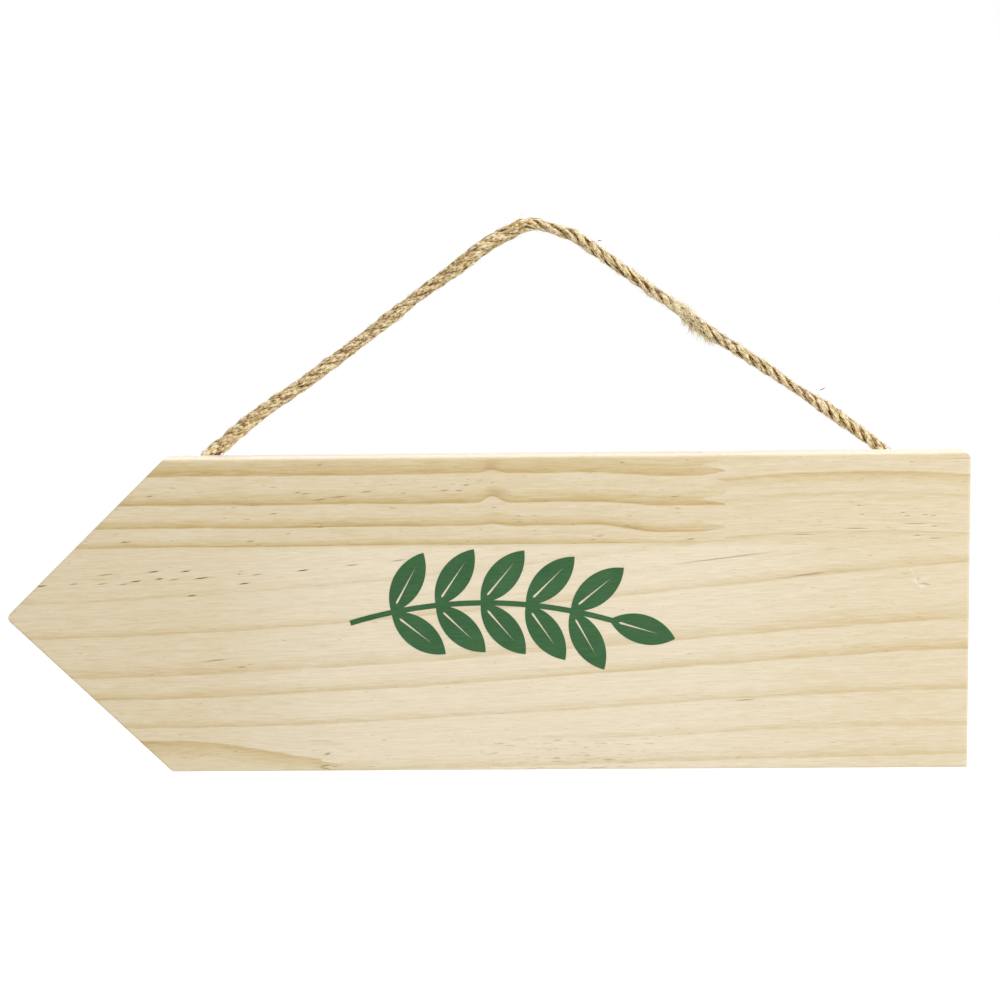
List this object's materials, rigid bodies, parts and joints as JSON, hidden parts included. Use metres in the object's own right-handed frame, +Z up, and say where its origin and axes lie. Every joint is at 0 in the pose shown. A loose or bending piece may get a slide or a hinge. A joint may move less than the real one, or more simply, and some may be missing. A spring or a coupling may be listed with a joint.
{
  "type": "hanging wooden sign",
  "caption": "Arrow-shaped sign board glued up from finger-jointed pine staves, with a leafy sprig painted on its face, hung by a jute rope stapled to its back.",
  "frame": {"origin": "underside of the rope at its highest point, where it lies over the hook", "axes": "+X from the arrow's point to the tail, +Y from the painted front to the back, +Z up"},
  "size_m": [0.3927, 0.0224, 0.226],
  "materials": {
    "pine_board": "planed and sanded, unfinished",
    "jute_rope": "natural twisted jute",
    "staple_wire": "galvanised",
    "green_paint": "matt paint"
  },
  "bodies": {
    "root": {"top_left_stave": "pine_board", "top_right_stave": "pine_board", "middle_stave": "pine_board", "bottom_left_stave": "pine_board", "bottom_right_stave": "pine_board", "rope": "jute_rope", "left_upper_staple": "staple_wire", "left_lower_staple": "staple_wire", "right_upper_staple": "staple_wire", "right_lower_staple": "staple_wire", "painted_sprig": "green_paint"}
  },
  "joints": []
}
